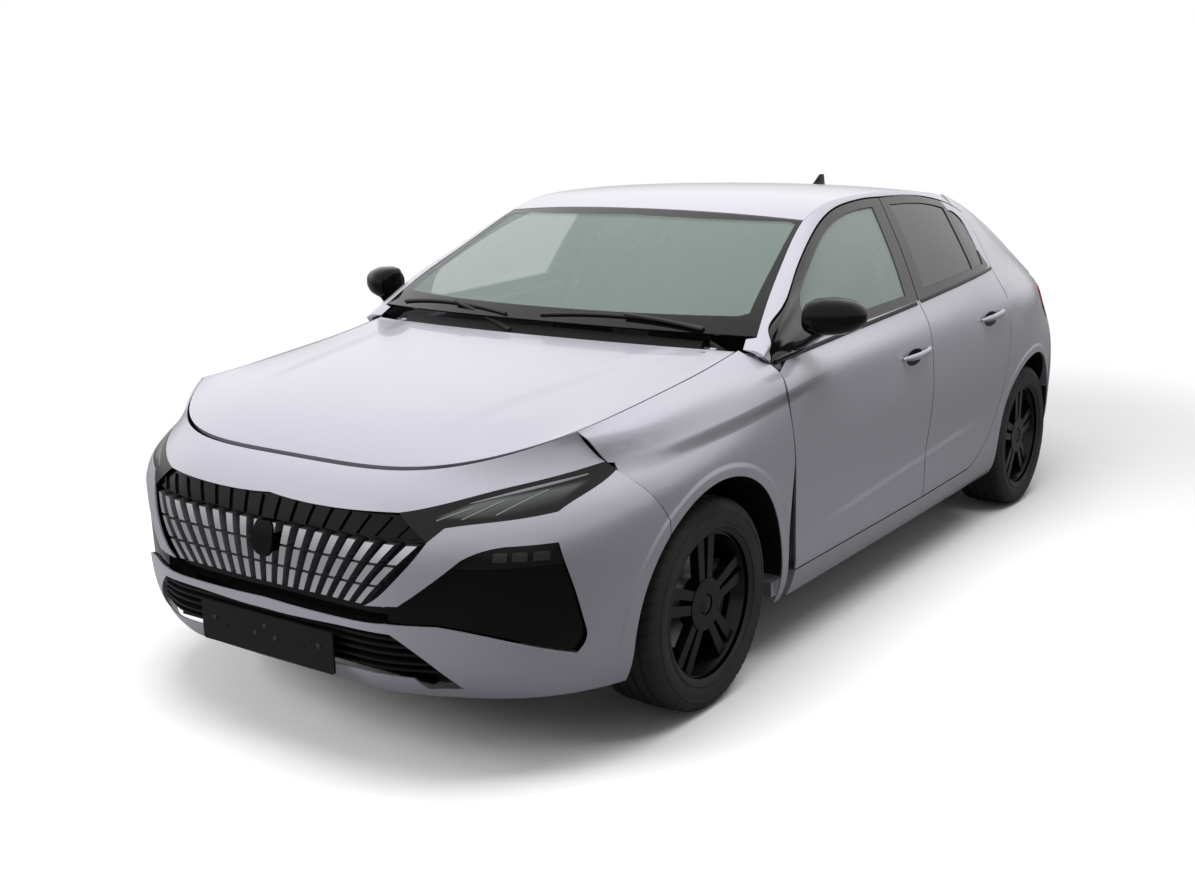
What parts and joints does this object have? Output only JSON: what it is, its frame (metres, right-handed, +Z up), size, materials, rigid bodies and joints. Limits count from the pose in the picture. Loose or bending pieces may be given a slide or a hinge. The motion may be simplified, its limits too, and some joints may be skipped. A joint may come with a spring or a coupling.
{
  "type": "hatchback car",
  "caption": "Compact five-door hatchback car with opening doors, bonnet and tailgate, front wheels that steer and wheels that roll",
  "frame": {"origin": "on the ground, at the centre of the bounding box seen from above", "axes": "+X is the car's left, +Y is rearwards, so the front faces -Y, and +Z is up"},
  "size_m": [2.062, 4.3712, 1.4503],
  "materials": {
    "body_paint": "light lavender-silver metallic",
    "gloss_black": "gloss black",
    "black_plastic": "grained black",
    "clear_glass": "light green tint",
    "privacy_glass": "dark tint",
    "bar_silver": "satin silver",
    "lamp_lens": "smoked clear lens",
    "tail_lens": "dark red lens",
    "wheel_black": "satin black",
    "tyre_rubber": "matte rubber",
    "disc_iron": "turned iron",
    "chassis_black": "black chassis paint",
    "engine_metal": "cast",
    "exhaust_steel": "plain",
    "seat_cloth": "dark grey cloth",
    "cabin_plastic": "dark grey"
  },
  "bodies": {
    "body": {"side_frames": "body_paint", "rear_quarters": "body_paint", "front_wings": "body_paint", "front_bumper": "body_paint", "headlamps": "lamp_lens", "bumper_corner_trims": "black_plastic", "grille": "gloss_black", "grille_bars": "bar_silver", "grille_strip": "gloss_black", "sensor_cover": "gloss_black", "slim_lamps": "lamp_lens", "plate_carrier": "black_plastic", "lower_grille": "black_plastic", "rear_bumper": "body_paint", "rear_valance": "black_plastic", "tail_lamps": "tail_lens", "windscreen": "clear_glass", "roof_panel": "body_paint", "cowl": "black_plastic", "front_subframe": "chassis_black", "rear_axle": "chassis_black", "engine": "engine_metal", "exhaust": "exhaust_steel", "arch_liners": "black_plastic", "underbody": "chassis_black", "dashboard": "cabin_plastic", "steering_wheel": "cabin_plastic", "centre_console": "cabin_plastic", "front_seats": "seat_cloth", "rear_bench": "seat_cloth"},
    "bonnet": {"bonnet": "body_paint"},
    "tailgate": {"tailgate": "body_paint", "tailgate_glass": "privacy_glass"},
    "door_front_left": {"door_front_left": "body_paint", "door_glass_front_left": "clear_glass", "mirror_left": "gloss_black"},
    "door_front_right": {"door_front_right": "body_paint", "door_glass_front_right": "clear_glass", "mirror_right": "gloss_black"},
    "door_rear_left": {"door_rear_left": "body_paint", "door_glass_rear_left": "privacy_glass"},
    "door_rear_right": {"door_rear_right": "body_paint", "door_glass_rear_right": "privacy_glass"},
    "knuckle_left": {"knuckle_left": "chassis_black"},
    "knuckle_right": {"knuckle_right": "chassis_black"},
    "wheel_front_left": {"tyre_front_left": "tyre_rubber", "rim_front_left": "wheel_black", "brake_disc_front_left": "disc_iron"},
    "wheel_front_right": {"tyre_front_right": "tyre_rubber", "rim_front_right": "wheel_black", "brake_disc_front_right": "disc_iron"},
    "wheel_rear_left": {"tyre_rear_left": "tyre_rubber", "rim_rear_left": "wheel_black", "brake_disc_rear_left": "disc_iron"},
    "wheel_rear_right": {"tyre_rear_right": "tyre_rubber", "rim_rear_right": "wheel_black", "brake_disc_rear_right": "disc_iron"}
  },
  "joints": [
    {"name": "steer_left", "type": "hinge", "parent": "body", "child": "knuckle_left", "pos_m": [0.735, -1.3215, 0.205], "axis": [-0.2419, 0, 0.9703], "range_deg": [-34, 34]},
    {"name": "roll_front_left", "type": "hinge", "parent": "knuckle_left", "child": "wheel_front_left", "pos_m": [0.78, -1.3215, 0.317], "axis": [1, 0, 0], "continuous": true},
    {"name": "roll_rear_left", "type": "hinge", "parent": "body", "child": "wheel_rear_left", "pos_m": [0.78, 1.3535, 0.317], "axis": [1, 0, 0], "continuous": true},
    {"name": "open_front_left", "type": "hinge", "parent": "body", "child": "door_front_left", "pos_m": [0.889, -0.83, 0.675], "axis": [0, 0, -1], "range_deg": [0, 65]},
    {"name": "open_rear_left", "type": "hinge", "parent": "body", "child": "door_rear_left", "pos_m": [0.889, 0.269, 0.675], "axis": [0, 0, -1], "range_deg": [0, 65]},
    {"name": "steer_right", "type": "hinge", "parent": "body", "child": "knuckle_right", "pos_m": [-0.735, -1.3215, 0.205], "axis": [0.2419, 0, 0.9703], "range_deg": [-34, 34]},
    {"name": "roll_front_right", "type": "hinge", "parent": "knuckle_right", "child": "wheel_front_right", "pos_m": [-0.78, -1.3215, 0.317], "axis": [1, 0, 0], "continuous": true},
    {"name": "roll_rear_right", "type": "hinge", "parent": "body", "child": "wheel_rear_right", "pos_m": [-0.78, 1.3535, 0.317], "axis": [1, 0, 0], "continuous": true},
    {"name": "open_front_right", "type": "hinge", "parent": "body", "child": "door_front_right", "pos_m": [-0.889, -0.83, 0.675], "axis": [0, 0, 1], "range_deg": [0, 65]},
    {"name": "open_rear_right", "type": "hinge", "parent": "body", "child": "door_rear_right", "pos_m": [-0.889, 0.269, 0.675], "axis": [0, 0, 1], "range_deg": [0, 65]},
    {"name": "open_bonnet", "type": "hinge", "parent": "body", "child": "bonnet", "pos_m": [0, -0.955, 0.996], "axis": [-1, 0, 0], "range_deg": [0, 50]},
    {"name": "open_tailgate", "type": "hinge", "parent": "body", "child": "tailgate", "pos_m": [0, 1.1245, 1.396], "axis": [1, 0, 0], "range_deg": [0, 70]}
  ],
  "couplings": [
    {"joint": "steer_right", "follows": "steer_left", "ratio": 1}
  ]
}
